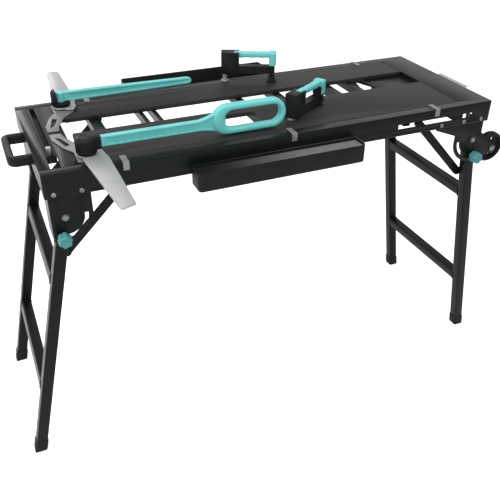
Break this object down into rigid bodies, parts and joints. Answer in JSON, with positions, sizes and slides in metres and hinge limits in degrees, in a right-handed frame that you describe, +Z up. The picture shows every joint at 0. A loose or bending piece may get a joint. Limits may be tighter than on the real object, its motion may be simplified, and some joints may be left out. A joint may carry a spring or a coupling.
{
  "type": "folding workbench",
  "caption": "Folding workbench with a slotted two-panel top, pivoting leg frames with struts, swinging jaw levers, post clamps, side tool trays and transport wheels.",
  "frame": {"origin": "on the floor, under the middle of the whole object's box", "axes": "+X along the bench from the carry-handle end to the wheel end, +Y from front to back, +Z up"},
  "size_m": [1.5008, 0.91, 0.94],
  "materials": {
    "frame_black": "glossy black powder coat on steel sheet and tube",
    "panel_black": "board with a smooth dark film face",
    "plastic_black": "moulded, fine grain",
    "teal_plastic": "smooth moulded, satin gloss",
    "bright_steel": "bright plated, lightly brushed",
    "zinc_bolts": "zinc-plated fasteners"
  },
  "bodies": {
    "bench_frame": {"front_side_rail": "frame_black", "back_side_rail": "frame_black", "left_end_beam": "frame_black", "right_end_beam": "frame_black", "end_track_insert": "plastic_black", "cross_members": "frame_black", "strut_guides": "frame_black", "front_work_panel": "panel_black", "back_work_panel": "panel_black", "slot_floor_plate": "frame_black", "front_tool_tray": "plastic_black", "back_tool_tray": "plastic_black", "carry_handle": "plastic_black", "left_front_leg_bracket": "frame_black", "left_back_leg_bracket": "frame_black", "right_front_leg_bracket": "frame_black", "right_back_leg_bracket": "frame_black", "pivot_bolts": "zinc_bolts", "frame_bolts": "zinc_bolts", "rail_clips": "bright_steel", "wheel_axles": "zinc_bolts", "jaw_mount_plates": "bright_steel", "right_end_strip": "bright_steel"},
    "left_leg_frame": {"left_leg_front_post": "frame_black", "left_leg_back_post": "frame_black", "left_leg_upper_bar": "frame_black", "left_leg_lower_bar": "frame_black", "left_leg_feet": "plastic_black", "left_leg_rivets": "zinc_bolts"},
    "left_front_strut_arm": {"left_front_strut": "frame_black"},
    "left_front_knob_body": {"left_front_knob": "teal_plastic"},
    "left_back_strut_arm": {"left_back_strut": "frame_black"},
    "left_back_knob_body": {"left_back_knob": "teal_plastic"},
    "right_leg_frame": {"right_leg_front_post": "frame_black", "right_leg_back_post": "frame_black", "right_leg_upper_bar": "frame_black", "right_leg_lower_bar": "frame_black", "right_leg_feet": "plastic_black", "right_leg_rivets": "zinc_bolts"},
    "right_front_strut_arm": {"right_front_strut": "frame_black"},
    "right_front_knob_body": {"right_front_knob": "teal_plastic"},
    "right_back_strut_arm": {"right_back_strut": "frame_black"},
    "right_back_knob_body": {"right_back_knob": "teal_plastic"},
    "front_transport_wheel": {"front_wheel": "plastic_black"},
    "back_transport_wheel": {"back_wheel": "plastic_black"},
    "front_jaw_arm": {"front_jaw_blade": "bright_steel", "front_jaw_hub": "plastic_black", "front_jaw_lever": "teal_plastic"},
    "back_jaw_arm": {"back_jaw_blade": "bright_steel", "back_jaw_hub": "plastic_black", "back_jaw_lever": "teal_plastic"},
    "track_stop": {"track_stop_bolt": "bright_steel"},
    "rear_clamp_spindle": {"rear_clamp_post": "bright_steel"},
    "rear_clamp_carrier": {"rear_clamp_arm": "plastic_black", "rear_clamp_pad": "plastic_black"},
    "rear_clamp_grip": {"rear_clamp_lever": "teal_plastic"},
    "slot_clamp_spindle": {"slot_clamp_post": "bright_steel"},
    "slot_clamp_carrier": {"slot_clamp_arm": "plastic_black", "slot_clamp_pad": "plastic_black"},
    "slot_clamp_grip": {"slot_clamp_lever": "teal_plastic"}
  },
  "joints": [
    {"name": "left_leg_fold", "type": "hinge", "parent": "bench_frame", "child": "left_leg_frame", "pos_m": [-0.56324, 0, 0.735], "axis": [0, -1, 0], "range_deg": [0, 103]},
    {"name": "left_front_strut_swing", "type": "hinge", "parent": "left_leg_frame", "child": "left_front_strut_arm", "pos_m": [-0.56963, -0.185, 0.61845], "axis": [0, -1, 0], "range_deg": [-138.4, 0.5]},
    {"name": "left_front_knob_turn", "type": "hinge", "parent": "left_leg_frame", "child": "left_front_knob_body", "pos_m": [-0.57449, -0.2345, 0.68628], "axis": [0, -1, 0], "continuous": true},
    {"name": "left_back_strut_swing", "type": "hinge", "parent": "left_leg_frame", "child": "left_back_strut_arm", "pos_m": [-0.56963, 0.185, 0.61845], "axis": [0, -1, 0], "range_deg": [-138.4, 0.5]},
    {"name": "left_back_knob_turn", "type": "hinge", "parent": "left_leg_frame", "child": "left_back_knob_body", "pos_m": [-0.57449, 0.2345, 0.68628], "axis": [0, 1, 0], "continuous": true},
    {"name": "right_leg_fold", "type": "hinge", "parent": "bench_frame", "child": "right_leg_frame", "pos_m": [0.61676, 0, 0.735], "axis": [0, 1, 0], "range_deg": [0, 93.5]},
    {"name": "right_front_strut_swing", "type": "hinge", "parent": "right_leg_frame", "child": "right_front_strut_arm", "pos_m": [0.61499, -0.185, 0.61829], "axis": [0, 1, 0], "range_deg": [-127.5, 0.5]},
    {"name": "right_front_knob_turn", "type": "hinge", "parent": "right_leg_frame", "child": "right_front_knob_body", "pos_m": [0.62458, -0.2345, 0.68562], "axis": [0, -1, 0], "continuous": true},
    {"name": "right_back_strut_swing", "type": "hinge", "parent": "right_leg_frame", "child": "right_back_strut_arm", "pos_m": [0.61499, 0.185, 0.61829], "axis": [0, 1, 0], "range_deg": [-127.5, 0.5]},
    {"name": "right_back_knob_turn", "type": "hinge", "parent": "right_leg_frame", "child": "right_back_knob_body", "pos_m": [0.62458, 0.2345, 0.68562], "axis": [0, 1, 0], "continuous": true},
    {"name": "front_wheel_roll", "type": "hinge", "parent": "bench_frame", "child": "front_transport_wheel", "pos_m": [0.69776, -0.2085, 0.695], "axis": [0, 1, 0], "continuous": true},
    {"name": "back_wheel_roll", "type": "hinge", "parent": "bench_frame", "child": "back_transport_wheel", "pos_m": [0.69776, 0.2085, 0.695], "axis": [0, 1, 0], "continuous": true},
    {"name": "front_jaw_swing", "type": "hinge", "parent": "bench_frame", "child": "front_jaw_arm", "pos_m": [-0.48524, -0.165, 0.872], "axis": [0, 0, 1], "range_deg": [-105, 0]},
    {"name": "back_jaw_swing", "type": "hinge", "parent": "bench_frame", "child": "back_jaw_arm", "pos_m": [-0.48524, 0.165, 0.872], "axis": [0, 0, 1], "range_deg": [0, 105]},
    {"name": "track_stop_slide", "type": "slide", "parent": "bench_frame", "child": "track_stop", "axis": [0, 1, 0], "range_m": [-0.034, 0.26]},
    {"name": "rear_clamp_swivel", "type": "hinge", "parent": "bench_frame", "child": "rear_clamp_spindle", "pos_m": [0.01176, 0.213, 0.85], "axis": [0, 0, 1], "range_deg": [-60, 24]},
    {"name": "rear_clamp_lift", "type": "slide", "parent": "rear_clamp_spindle", "child": "rear_clamp_carrier", "axis": [0, 0, 1], "range_m": [0, 0.014]},
    {"name": "rear_clamp_lever_turn", "type": "hinge", "parent": "rear_clamp_carrier", "child": "rear_clamp_grip", "pos_m": [0.04282, 0.19917, 0.9315], "axis": [-0.4067, -0.9135, 0], "range_deg": [0, 60]},
    {"name": "slot_clamp_swivel", "type": "hinge", "parent": "bench_frame", "child": "slot_clamp_spindle", "pos_m": [0.06178, -0.138, 0.85], "axis": [0, 0, 1], "range_deg": [-32, 50]},
    {"name": "slot_clamp_lift", "type": "slide", "parent": "slot_clamp_spindle", "child": "slot_clamp_carrier", "axis": [0, 0, 1], "range_m": [0, 0.014]},
    {"name": "slot_clamp_lever_turn", "type": "hinge", "parent": "slot_clamp_carrier", "child": "slot_clamp_grip", "pos_m": [0.09062, -0.11998, 0.9115], "axis": [0.5299, -0.848, 0], "range_deg": [0, 60]}
  ],
  "couplings": [
    {"joint": "left_front_strut_swing", "follows": "left_leg_fold", "ratio": -1.3391},
    {"joint": "left_back_strut_swing", "follows": "left_leg_fold", "ratio": -1.3391},
    {"joint": "right_front_strut_swing", "follows": "right_leg_fold", "ratio": -1.3578},
    {"joint": "right_back_strut_swing", "follows": "right_leg_fold", "ratio": -1.3578}
  ]
}
